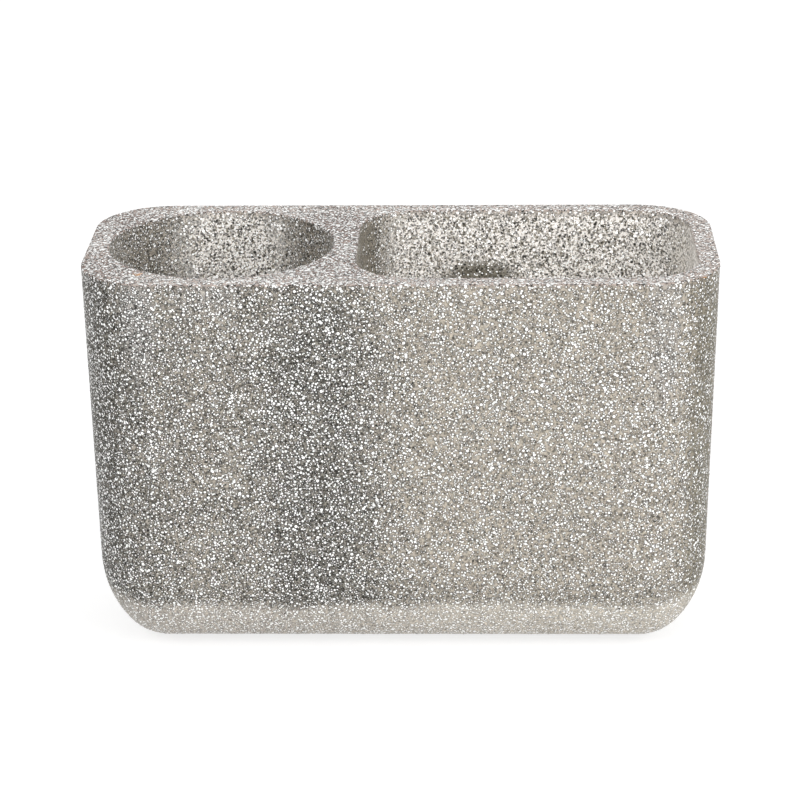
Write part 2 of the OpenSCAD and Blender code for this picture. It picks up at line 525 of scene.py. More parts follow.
@dataclass(frozen=True)
class ResinFinish:
    """Glossy cast resin, with glitter that lies too deep to be geometry."""

    flakes: bpy.types.NodeTree
    clouds: bpy.types.NodeTree

    # The resin's colours by zone, with painted light where light seeps through thin resin and up through the
    # foot, and painted shade where it is thick and at the ends
    thick: Colour = (0.315, 0.296, 0.257, 1.0)
    thin: Colour = (0.56, 0.502, 0.42, 1.0)
    shaded_end_left: Colour = (0.175, 0.163, 0.138, 1.0)
    shaded_end_right: Colour = (0.226, 0.204, 0.153, 1.0)
    lit_foot_left: Colour = (0.66, 0.6, 0.532, 1.0)
    lit_foot_right: Colour = (0.73, 0.672, 0.582, 1.0)
    rim_thick: Colour = (0.24, 0.166, 0.139, 1.0)
    rim_thin: Colour = (0.5, 0.415, 0.37, 1.0)
    well_shade: Colour = (0.365, 0.33, 0.276, 1.0)
    well_lit: Colour = (0.93, 0.89, 0.85, 1.0)
    olive: Colour = (0.25, 0.225, 0.18, 1.0)
    haze_and_highlight: Colour = (0.5, 0.475, 0.45, 1.0)
    patch_shade: Colour = (0.17, 0.155, 0.122, 1.0)

    # The flakes' colours: dark rings of painted shadow and dark depths, sunk flakes, near flakes
    dark: Colour = (0.02, 0.019, 0.016, 1.0)
    pale: Colour = (0.52, 0.51, 0.49, 1.0)
    bright: Colour = (0.97, 0.965, 0.95, 1.0)

    # Darker patches in the wide well, painted highlights on the front and how strongly each one tints, then
    # the zones' edges and what they keep
    # Painted shade darkens the wide well's two ends; the first patch is a darker spot low on its rear wall
    dark_patches: tuple[tuple[SoftPatch, float], ...] = (
        (SoftPatch((17.7, 70.5), (10.0, 7.5), behind=True), 1.0),
        (SoftPatch((-9.8, 80.0), (4.5, 25.0), behind=True, edges=(1.3, 0.2)), 0.6),
        (SoftPatch((65.5, 80.0), (6.0, 25.0), behind=True, edges=(1.3, 0.2)), 0.25),
    )
    # Painted highlights: pale patches where soft light shows on the front corners and the top of the front
    # wall
    painted_highlights: tuple[tuple[SoftPatch, float], ...] = (
        (SoftPatch((-56.2, 82.0), (4.0, 15.0), behind=False, edges=(1.5, 0.1)), 0.8),
        (SoftPatch((57.0, 80.0), (4.0, 22.0), behind=False, edges=(1.5, 0.1)), 0.45),
        (SoftPatch((-41.0, 87.0), (8.0, 5.0), behind=False, edges=(1.5, 0.1)), 0.5),
    )
    foot_top: float = 13.6
    foot_turns: tuple[float, float] = (-60.0, 50.0)
    rim_seen_through: tuple[float, float] = (0.03, 0.12)
    end_strength: float = 0.9
    end_gloss_kept: float = 0.15
    end_foot_kept: float = 0.6

    # Grain of the resin between the flakes
    network: Mottle = Mottle(0.55, -1.2, 1.7)
    grains: tuple[Mottle, ...] = (Mottle(3.5, 0.94, 1.06), Mottle(0.45, 0.8, 1.2))
    mosaic_tones: tuple[float, float] = (0.62, 1.38)
    mosaic_in_clear: float = 0.38
    mosaic_on_rim: float = 0.65

    # Shares of the near flakes, of the deep dark ones and of the rings that zones keep
    near_on_rim: float = 0.34
    near_in_clear: float = 0.86
    near_at_right: float = 0.75
    near_in_wells: tuple[float, float] = (0.65, 0.85)
    near_at_well_ends: float = 0.3
    deep_at_foot: float = 0.1
    deep_in_clear: tuple[float, float] = (0.95, 0.2)
    deep_on_rim: float = 0.6
    deep_in_wells: float = 0.88
    rings_in_light: float = 0.42
    rings_in_clear: float = 0.72
    rings_at_foot: float = 0.5

    # How strongly flakes show, and how much larger and duller they are on the rim
    deep_strength: float = 0.9
    sunk_strength: float = 0.55
    black_share: float = 0.65
    brightest_from: float = 0.7
    least_tones: tuple[float, float, float] = (0.6, 0.6, 0.7)
    rim_swell: float = 1.6
    rim_glints: float = 0.55

    # Layers of flakes, from the deepest to the nearest
    mosaic: FlakeLayer = FlakeLayer(91.0, 0.36, 0.1)
    dust: FlakeLayer = FlakeLayer(31.0, 0.52, 0.15)
    specks: FlakeLayer = FlakeLayer(43.0, 1.0, 0.22)
    sunk: FlakeLayer = FlakeLayer(67.0, 0.95, 0.25, 0.1)
    fine: FlakeLayer = FlakeLayer(5.0, 0.52, 0.16)
    small: FlakeLayer = FlakeLayer(13.0, 0.78, 0.215)
    near: FlakeLayer = FlakeLayer(23.0, 1.25, 0.28)

    # The skin, the light that seeps out and the flakes' glints
    skin_roughness: Mottle = Mottle(2.5, 0.4, 0.55, detail=2.0)
    ripple: Mottle = Mottle(4.0)
    bump: tuple[float, float] = (0.25, 0.02)
    gloss: float = 0.15
    gloss_on_rim: float = 0.12
    coat_roughness: float = 0.07
    coat_ior: float = 1.35
    skin_shine: float = 0.1
    seep_glow: float = 0.32
    sparkle: float = 0.28

    def material(self) -> bpy.types.Material:
        """Builds the block's material."""
        material, wiring, shader = new_material("glitter_resin")
        zones = ResinZones(wiring, self.clouds, self.foot_top)
        colour = self.grained(wiring, zones, self.base_colour(wiring, zones))
        colour, raised, glints = self.with_flakes(wiring, zones, colour)
        seeping = wiring.blend(wiring.product(zones.lit_well, self.seep_glow), BLACK, colour)
        ripple = self.ripple.place(wiring, self.clouds, zones.where)
        gloss = wiring.fade(zones.rim, self.gloss, self.gloss_on_rim)
        kept = wiring.fade(wiring.product(zones.ends, zones.outer), 1.0, self.end_gloss_kept)
        feeds = {
            "Base Color": colour,
            "Emission Color": wiring.blend(wiring.product(glints, self.sparkle), seeping, self.bright, "ADD"),
            "Emission Strength": 1.0,
            "Roughness": self.skin_roughness.place(wiring, self.clouds, zones.where),
            "Normal": wiring.bump(wiring.math("ADD", ripple, raised), *self.bump),
            "Coat Weight": wiring.product(gloss, kept),
            "Coat Roughness": self.coat_roughness,
            "Coat IOR": self.coat_ior,
            "Specular IOR Level": self.skin_shine,
        }
        wiring.feed_all(shader, feeds)
        return material

    def base_colour(self, wiring: Wiring, zones: ResinZones) -> Feed:
        """Returns the resin's colour by zone, before grain and flakes."""
        # Painted light and shade: paler where light seeps through thin resin, darker where it is thick
        outside = wiring.blend(zones.thin, self.thick, self.thin)
        # Painted highlights on the front corners and the top of the front wall
        for patch, strength in self.painted_highlights:
            highlighted = wiring.product(patch.share(wiring, zones.axes), strength)
            outside = wiring.blend(highlighted, outside, self.haze_and_highlight)
        # Painted shade darkens both ends, where the thick rounded corners let little light through
        for end, tint in ((zones.left_end, self.shaded_end_left), (zones.right_end, self.shaded_end_right)):
            outside = wiring.blend(wiring.product(end, self.end_strength), outside, tint)
        # Painted light: a paler band along the foot, where light from the floor rises through the solid base
        rightwards = wiring.span(zones.axes[0], *self.foot_turns)
        foot = wiring.blend(rightwards, self.lit_foot_left, self.lit_foot_right)
        at_foot = wiring.product(zones.foot, wiring.fade(zones.ends, 1.0, self.end_foot_kept))
        outside = wiring.blend(at_foot, outside, foot)
        network = self.network.place(wiring, self.clouds, zones.where)
        net = wiring.math("MAXIMUM", network, 0.0, clamp=True)
        lit = wiring.blend(net, self.well_lit, self.olive)
        inside = wiring.blend(zones.lit_well, self.well_shade, lit)
        # Painted shade at the wide well's ends, and a darker spot low on its rear wall
        for patch, strength in self.dark_patches:
            shaded = wiring.product(patch.share(wiring, zones.axes), strength)
            inside = wiring.blend(shaded, inside, self.patch_shade)
        colour = wiring.blend(zones.inner, outside, inside)
        # Painted light: the rim is paler where light seeps up through thin walls
        seen_through = wiring.span(zones.glow, *self.rim_seen_through)
        return wiring.blend(zones.rim, colour, wiring.blend(seen_through, self.rim_thick, self.rim_thin))

    def grained(self, wiring: Wiring, zones: ResinZones, colour: Feed) -> Feed:
        """Returns a colour broken up by soft mottles and a fine grain."""
        for grain in self.grains:
            tone = grain.place(wiring, self.clouds, zones.where)
            colour = wiring.blend(1.0, colour, tone, "MULTIPLY")
        cells = self.mosaic.place(wiring, self.flakes, zones.where, 1.0)
        tone = wiring.fade(cells["Shade"], *self.mosaic_tones, smooth=False)
        calm = wiring.math("MAXIMUM", zones.clear, zones.foot)
        on_wall = wiring.fade(calm, 1.0, self.mosaic_in_clear, smooth=False)
        strength = wiring.math("MAXIMUM", on_wall, wiring.product(zones.rim, self.mosaic_on_rim))
        return wiring.blend(strength, colour, tone, "MULTIPLY")

    def with_flakes(self, wiring: Wiring, zones: ResinZones, colour: Feed) -> tuple[Feed, Feed, Feed]:
        """Lays all the flakes over a colour.

        Args:
            wiring: The material's wiring.
            zones: The point's zones.
            colour: The resin's colour.

        Returns:
            The colour with flakes, a height for the flakes nearest the surface, and how much
            each point glints.
        """
        where = zones.where
        many = wiring.product(
            zones.outer,
            wiring.fade(zones.rim, 1.0, self.near_on_rim),
            wiring.fade(zones.clear, 1.0, self.near_in_clear, smooth=False),
            wiring.fade(zones.right_end, 1.0, self.near_at_right),
        )
        smooth_end = wiring.fade(zones.quiet, 1.0, self.near_at_well_ends)
        few = wiring.fade(zones.lit_well, *self.near_in_wells)
        crowd = wiring.math("ADD", many, wiring.product(zones.inner, few, smooth_end))
        above_foot = wiring.fade(zones.foot, 1.0, self.deep_at_foot)
        clouded = wiring.math("MAXIMUM", wiring.fade(zones.clear, *self.deep_in_clear), zones.rim)
        on_rim = wiring.fade(zones.rim, 1.0, self.deep_on_rim)
        unlit_share = wiring.product(zones.outer, above_foot, clouded, on_rim)
        unlit_share = wiring.math("ADD", unlit_share, wiring.product(zones.inner, smooth_end, self.deep_in_wells))
        swell = wiring.fade(zones.rim, 1.0, self.rim_swell)
        # Painted shade: dark discs stand for flakes that catch no light
        for layer in (self.dust, self.specks):
            found = layer.place(wiring, self.flakes, where, unlit_share, swell)
            colour = wiring.blend(wiring.product(found["Mask"], self.deep_strength), colour, self.dark)
        sunk = self.sunk.place(wiring, self.flakes, where, crowd)
        colour = wiring.blend(wiring.product(sunk["Mask"], self.sunk_strength), colour, self.pale)
        ring_share = wiring.product(
            wiring.fade(zones.lit_well, 1.0, self.rings_in_light),
            wiring.fade(zones.clear, 1.0, self.rings_in_clear, smooth=False),
            wiring.fade(zones.foot, 1.0, self.rings_at_foot),
        )
        glints, rim_calm = 0.0, wiring.fade(zones.rim, 1.0, self.rim_glints)
        for layer, least in zip((self.fine, self.small, self.near), self.least_tones, strict=True):
            found = layer.place(wiring, self.flakes, where, crowd, swell)
            # Painted shadow: a dark ring round each flake
            colour = wiring.blend(wiring.product(found["Line"], ring_share), colour, self.dark)
            # Against the light most flakes look black and the others still shine
            blackened = wiring.math("LESS_THAN", found["Shade"], self.black_share)
            black = wiring.product(zones.lit_well, blackened)
            tone = wiring.span(found["Shade"], 0.0, self.brightest_from, least, 1.0)
            cover = wiring.product(found["Mask"], tone)
            colour = wiring.blend(cover, colour, wiring.blend(black, self.bright, self.dark))
            shining = wiring.product(cover, wiring.math("SUBTRACT", 1.0, black), rim_calm)
            glints = wiring.math("MAXIMUM", glints, shining)
        return colour, found["Mask"], glints


@dataclass(frozen=True)
class FlakeFinish:
    """Thin foil whose sloped sides are painted dark as a shadow round each flake, as bright as its own shade
    says.
    """

    name: str
    light: Colour
    dull: Colour
    flake_shadow: Colour = (0.04, 0.038, 0.034, 1.0)
    dull_share: float = 0.4
    metal: float = 0.4
    roughness: tuple[float, float] = (0.45, 0.3)
    gloss: float = 0.15
    coat_roughness: float = 0.1

    def material(self) -> bpy.types.Material:
        """Builds the material, which reads each flake's own shade."""
        material, wiring, shader = new_material(self.name)
        shade = wiring.attribute("shade")
        face = wiring.blend(wiring.span(shade, 0.0, self.dull_share), self.dull, self.light)
        feeds = {
            # Painted shadow: the flake's sloped sides are dark
            "Base Color": wiring.blend(wiring.attribute("edge"), face, self.flake_shadow),
            "Roughness": wiring.fade(shade, *self.roughness),
            "Metallic": self.metal,
            "Coat Weight": self.gloss,
            "Coat Roughness": self.coat_roughness,
        }
        wiring.feed_all(shader, feeds)
        return material


@dataclass(frozen=True)
class SiliconeFinish:
    """Milky soft plastic with a fine matt skin."""

    pale: Colour = (0.74, 0.75, 0.74, 1.0)
    dull: Colour = (0.6, 0.61, 0.6, 1.0)
    haze_and_highlight: Mottle = Mottle(1.6)
    dust: Mottle = Mottle(0.35, 0.42, 0.62, detail=2.0)
    bump: tuple[float, float] = (0.3, 0.03)
    milkiness: float = 0.15

    def material(self, clouds: bpy.types.NodeTree) -> bpy.types.Material:
        """Builds the material from the group of soft patches."""
        material, wiring, shader = new_material("pad_silicone")
        where = millimetres(wiring)
        haze_and_highlight, dust = (mottle.place(wiring, clouds, where) for mottle in (self.haze_and_highlight, self.dust))
        feeds = {
            "Base Color": wiring.blend(haze_and_highlight, self.pale, self.dull),
            "Roughness": dust,
            "Normal": wiring.bump(dust, *self.bump),
            "Subsurface Weight": self.milkiness,
            "Subsurface Scale": MM,
        }
        wiring.feed_all(shader, feeds)
        return material


@dataclass(frozen=True)
class Outline:
    """A rectangle with round corners seen from above, given by its corners' axes."""

    centre_x: float
    half_x: float
    half_y: float

    def stations(self, reach: float, spacing: float) -> tuple[np.ndarray, np.ndarray]:
        """Finds places round the outline, anticlockwise.

        Args:
            reach: Radius of the corners where the spacing is wanted.
            spacing: Distance between neighbouring places.

        Returns:
            The places' base points on the axes' rectangle and their outward directions.
        """
        bases, ways = [], []
        steps = round(reach * QUARTER / spacing)
        for turn, (side_x, side_y) in enumerate(((1, 1), (-1, 1), (-1, -1), (1, -1))):
            corner = np.array([self.centre_x + side_x * self.half_x, side_y * self.half_y])
            for step in range(steps):
                bases.append(corner)
                ways.append(toward((turn + step / steps) * QUARTER))
            length = 2 * (self.half_y if turn % 2 else self.half_x)
            count = round(length / spacing)
            travel = toward((turn + 2) * QUARTER)
            for step in range(count):
                bases.append(corner + travel * length * step / count)
                ways.append(toward((turn + 1) * QUARTER))
        return np.array(bases), np.array(ways)

    def reach_to(self, places: np.ndarray) -> np.ndarray:
        """Returns how far places lie outside the rectangle of the corners' axes."""
        away = np.abs(places - [self.centre_x, 0.0]) - [self.half_x, self.half_y]
        return np.linalg.norm(np.maximum(away, 0.0), axis=1)


@dataclass(frozen=True)
class Ring:
    """One closed row of a wall: where it runs and its vertices."""

    outline: Outline
    reach: float
    vertices: np.ndarray


@dataclass
class Shell:
    """A closed surface, gathered wall by wall."""

    spacing: float
    points: list[np.ndarray] = field(default_factory=list)
    faces: list[tuple[int, ...]] = field(default_factory=list)
    face_regions: list[Region] = field(default_factory=list)
    point_regions: list[Region] = field(default_factory=list)

    def add_points(self, points: np.ndarray, region: Region) -> np.ndarray:
        """Adds vertices and returns their indices."""
        first = len(self.points)
        self.points.extend(points)
        self.point_regions.extend([region] * len(points))
        return np.arange(first, first + len(points))

    def add_faces(self, faces: Sequence[tuple[int, ...]], region: Region) -> None:
        """Adds faces of one region."""
        self.faces.extend(faces)
        self.face_regions.extend([region] * len(faces))

    def add_wall(self, outline: Outline, corner_r: float, rows: np.ndarray, region: Region) -> list[Ring]:
        """Carries a section round an outline.

        Args:
            outline: The outline to follow.
            corner_r: Radius of its corners where the spacing is wanted.
            rows: The section's reach and height at each row, upwards.
            region: Region of the wall, which faces out of the resin.

        Returns:
            The lowest and the highest ring.
        """
        bases, ways = outline.stations(corner_r, self.spacing)
        rings = []
        for reach, height in rows:
            flat = bases + ways * reach
            level = np.full((len(flat), 1), height)
            rings.append(self.add_points(np.hstack([flat, level]), region))
        inwards = region is Region.WELL
        for low, high in zip(rings[:-1], rings[1:], strict=True):
            quads = np.stack([low, np.roll(low, -1), np.roll(high, -1), high], axis=1)
            self.add_faces([tuple(quad) for quad in (quads[:, ::-1] if inwards else quads).tolist()], region)
        return [Ring(outline, rows[end][0], rings[end]) for end in (0, -1)]

    def add_cap(self, edge: Ring, holes: Sequence[Ring], region: Region, upwards: bool) -> None:
        """Fills a flat face between rings of one height.

        Args:
            edge: The face's outer ring.
            holes: Rings of the holes in it.
            region: Region of the face.
            upwards: Whether it faces up.
        """
        height = self.points[edge.vertices[0]][2]
        rings = [edge.vertices, *(hole.vertices for hole in holes)]
        border = np.concatenate(rings)
        loops, first = [], 0
        for ring in rings:
            loops.extend((first + i, first + (i + 1) % len(ring)) for i in range(len(ring)))
            first += len(ring)
        flat = np.array([self.points[index][:2] for index in border])
        inside = self.grid(edge, holes)
        places = np.vstack([flat, inside])
        added = self.add_points(np.column_stack([inside, np.full(len(inside), height)]), region)
        indices = np.concatenate([border, added])
        found = delaunay_2d_cdt([Vector(place) for place in places], loops, [], 1, MM)
        faces = []
        for corners in found[2]:
            middle = np.mean([found[0][corner] for corner in corners], axis=0).reshape(1, 2)
            if any(hole.outline.reach_to(middle)[0] < hole.reach for hole in holes):
                continue
            face = [int(indices[found[3][corner][0]]) for corner in corners]
            faces.append(tuple(face if upwards else reversed(face)))
        self.add_faces(faces, region)

    def grid(self, edge: Ring, holes: Sequence[Ring]) -> np.ndarray:
        """Returns evenly spread places inside a flat face, clear of its rings."""
        clear_share, triangle_angle = 0.7, math.radians(60)
        margin = clear_share * self.spacing
        row_gap = self.spacing * math.sin(triangle_angle)
        wide = edge.outline.half_x + edge.reach
        deep = edge.outline.half_y + edge.reach
        places = []
        for row, y in enumerate(np.arange(-deep, deep, row_gap)):
            start = edge.outline.centre_x - wide + (row % 2) * self.spacing / 2
            along = np.arange(start, edge.outline.centre_x + wide, self.spacing)
            places.append(np.column_stack([along, np.full(len(along), y)]))
        spread = np.vstack(places)
        kept = edge.outline.reach_to(spread) < edge.reach - margin
        for hole in holes:
            kept &= hole.outline.reach_to(spread) > hole.reach + margin
        return spread[kept]

    def array(self) -> np.ndarray:
        """Returns the vertices as rows."""
        return np.array(self.points)

    def of_region(self, region: Region) -> np.ndarray:
        """Returns 1 for each vertex of a region and 0 for the others."""
        return np.array([float(own is region) for own in self.point_regions])


@dataclass(frozen=True)
class SeepingLight:
    """How much light reaches the surface through the resin behind it."""

    decay: float = 5.5
    spread: float = 28.0
    around: int = 8
    rounds: int = 40
    from_well: float = 0.5
    through_divider: float = 0.15
    round_corner: float = 0.35
    right_end: float = 0.85
    from_rim: float = 0.5
    from_under: float = 0.8
    to_outside: float = 1.6
    to_well: float = -1.0
    flat_from: float = 0.7
    upright: float = 0.9

    def measure(self, shell: Shell, normals: np.ndarray) -> np.ndarray:
        """Casts rays inwards from each vertex.

        Args:
            shell: The closed surface.
            normals: Its outward vertex normals.

        Returns:
            The light at each vertex, 1 where the resin has no thickness.
        """
        points = shell.array()
        tree = BVHTree.FromPolygons(points.tolist(), shell.faces)
        far, step = 5 * self.decay, 0.02
        light = np.zeros(len(points))
        pull = np.where(shell.of_region(Region.WELL) > 0.0, self.to_well, self.to_outside)
        for inward in self.directions(normals):
            slant = np.clip(1.0 + pull * (inward + normals)[:, 0], 0.0, None)
            starts = (points + inward * step).tolist()
            for index, (start, way) in enumerate(zip(starts, inward.tolist(), strict=True)):
                _, leaving, face, gone = tree.ray_cast(start, way, far)
                if face is None:
                    continue
                bright = self.brightness(shell.point_regions[index], shell.face_regions[face], leaving)
                light[index] += math.exp(-gone / self.decay) * bright * slant[index]
        return self.smoothed(light / (self.around + 1), shell)

    def brightness(self, start: Region, end: Region, leaving: Vector) -> float:
        """Returns how bright it is where a ray leaves the resin.

        Args:
            start: Region that the ray starts from.
            end: Region that it leaves by.
            leaving: Outward normal there.

        Returns:
            The brightness, 1 behind the flat rear wall.
        """
        if end is Region.WELL:
            return self.through_divider if start is Region.WELL else self.from_well
        if end is Region.OUTER:
            facing = max(abs(leaving.y), self.right_end * leaving.x)
            flatness = float(ramp(np.array(facing), self.flat_from, 1.0))
            return self.round_corner + (1.0 - self.round_corner) * flatness
        return self.from_rim if end is Region.RIM else self.from_under

    def directions(self, normals: np.ndarray) -> list[np.ndarray]:
        """Returns the inward direction of each vertex and others in a cone round it."""
        straight = -normals
        helper = np.where(np.abs(normals[:, 2:]) < self.upright, [[0.0, 0.0, 1.0]], [[1.0, 0.0, 0.0]])
        side = np.cross(helper, normals)
        side /= np.linalg.norm(side, axis=1, keepdims=True)
        other = np.cross(normals, side)
        tilt = math.radians(self.spread)
        cone = [straight]
        for turn in np.linspace(0.0, 2 * math.pi, self.around, endpoint=False):
            aside = side * math.cos(turn) + other * math.sin(turn)
            cone.append(straight * math.cos(tilt) + aside * math.sin(tilt))
        return cone

    def smoothed(self, values: np.ndarray, shell: Shell) -> np.ndarray:
        """Returns values evened out over neighbouring vertices."""
        loops = (zip(face, face[1:] + face[:1], strict=True) for face in shell.faces)
        pairs = np.array([pair for loop in loops for pair in loop])
        count = len(values)
        shared = 1.0 + np.bincount(pairs[:, 0], minlength=count)
        for _ in range(self.rounds):
            gathered = np.bincount(pairs[:, 0], weights=values[pairs[:, 1]], minlength=count)
            values = (values + gathered) / shared
        return values


@dataclass
class ResinBlock:
    """The cast block: a drafted tub with a curved underside and two wells."""

    node: str = "body"
    corner_r: float = 17.0
    draft: float = 1.1
    sweep_r: float = 25.0
    heel_r: float = 10.0
    heel_turn: float = 50.0
    rim_r: float = 0.4
    floor_t: float = 10.0
    end_wall: float = 4.8
    side_wall: float = 5.2
    divider_t: float = 5.6
    round_well_r: float = 25.0
    wide_corner_r: float = 13.0
    well_draft: float = 1.0
    well_floor_r: float = 8.0
    skin: float = 0.1
    clear_of_rim: float = 0.5
    spacing: float = 1.35
    foot_fade: float = 2.5
    fewer_at_foot: float = 0.5
    fewer_where_thin: float = 0.2
    fewer_where_lit: float = 0.6

    def __post_init__(self) -> None:
        """Takes the block's overall size from the frame."""
        low, high = (np.array(corner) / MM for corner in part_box(self.node))
        self.half_len, self.half_depth = high[0], high[1]
        self.base, self.top = low[2], high[2]
        self.floor = self.base + self.floor_t

    def tangent_centre(
        self, top_r: float, lean: float, radius: float, height: float, side: int
    ) -> np.ndarray:
        """Finds the centre of a curve that touches a leaning wall.

        Args:
            top_r: The wall's reach at the top face.
            lean: Angle by which it leans, in radians.
            radius: Radius of the curve.
            height: Height of its centre.
            side: 1 for a curve on the axis' side of the wall, -1 beyond it.

        Returns:
            The centre's reach and height.
        """
        touch = height - side * radius * math.sin(lean)
        wall = top_r - (self.top - touch) * math.tan(lean)
        return np.array([wall - side * radius * math.cos(lean), height])

    def outer_rows(self) -> np.ndarray:
        """Returns the block's section from its flat underside up to the top face."""
        turn, lean = math.radians(self.heel_turn), math.radians(self.draft)
        height = self.base + self.heel_r + (self.sweep_r - self.heel_r) * math.cos(turn)
        sweep = self.tangent_centre(self.corner_r, lean, self.sweep_r, height, 1)
        heel = sweep + (self.sweep_r - self.heel_r) * toward(turn - QUARTER)
        rim = self.tangent_centre(self.corner_r, lean, self.rim_r, self.top - self.rim_r, 1)
        curves = [
            arc(heel, self.heel_r - self.skin, -QUARTER, turn - QUARTER, self.spacing),
            arc(sweep, self.sweep_r - self.skin, turn - QUARTER, -lean, self.spacing),
            arc(rim, self.rim_r - self.skin, -lean, QUARTER, self.spacing),
        ]
        return evenly(np.vstack(curves), self.spacing)

    def well_rows(self, top_r: float) -> np.ndarray:
        """Returns a well's section from its floor up to its mouth."""
        radius, lean = self.well_floor_r, math.radians(self.well_draft)
        bottom = self.tangent_centre(top_r, lean, radius, self.floor + radius, 1)
        mouth = self.tangent_centre(top_r, lean, self.rim_r, self.top - self.rim_r, -1)
        curves = [
            arc(bottom, radius + self.skin, -QUARTER, -lean, self.spacing),
            arc(mouth, self.rim_r - self.skin, math.pi - lean, QUARTER, self.spacing),
        ]
        return evenly(np.vstack(curves), self.spacing)

    def shell(self) -> Shell:
        """Builds the closed surface of the block with both wells."""
        shell = Shell(self.spacing)
        outline = Outline(0.0, self.half_len - self.corner_r, self.half_depth - self.corner_r)
        under, edge = shell.add_wall(outline, self.corner_r, self.outer_rows(), Region.OUTER)
        round_x = self.end_wall + self.round_well_r - self.half_len
        left = round_x + self.round_well_r + self.divider_t
        right = self.half_len - self.end_wall
        wide_half_x = (right - left) / 2 - self.wide_corner_r
        wide_half_y = self.half_depth - self.side_wall - self.wide_corner_r
        wells = [
            (Outline(round_x, 0.0, 0.0), self.round_well_r),
            (Outline((left + right) / 2, wide_half_x, wide_half_y), self.wide_corner_r),
        ]
        mouths = []
        for well, top_r in wells:
            floor, mouth = shell.add_wall(well, top_r, self.well_rows(top_r), Region.WELL)
            shell.add_cap(floor, [], Region.WELL, upwards=True)
            mouths.append(mouth)
        shell.add_cap(edge, mouths, Region.RIM, upwards=True)
        shell.add_cap(under, [], Region.UNDER, upwards=False)
        return shell

    def build(self, light: SeepingLight) -> bpy.types.Object:
        """Makes the block's mesh with what its finish and its glitter read.

        Args:
            light: How light seeps through the resin.

        Returns:
            The object.
        """
        shell = self.shell()
        block = new_mesh_object("resin_block", shell.array(), shell.faces)
        normals = np.array([vertex.normal for vertex in block.data.vertices])
        glow = light.measure(shell, normals)
        heights = shell.array()[:, 2]
        rim = ramp(heights, self.top - self.rim_r - self.skin, self.top - self.rim_r / 2)
        well = shell.of_region(Region.WELL)
        foot = ramp(heights, self.floor + self.foot_fade, self.floor)
        below_rim = (heights < self.top - self.rim_r - self.clear_of_rim).astype(float)
        outside = (1.0 - well) * below_rim * (1.0 - self.fewer_at_foot * foot)
        thin, lit = ramp(glow, *ResinZones.THIN), ramp(glow, *ResinZones.LIT)
        attributes = {
            "glow": glow,
            "rim": rim,
            "inner": well * (1.0 - rim),
            "flakes_outer": outside * (1.0 - self.fewer_where_thin * thin),
            "flakes_rim": (heights > self.top - self.skin - MM).astype(float),
            "flakes_wells": well * below_rim * (1.0 - self.fewer_where_lit * lit),
        }
        for name, values in attributes.items():
            set_attribute(block.data, name, values)
        return block


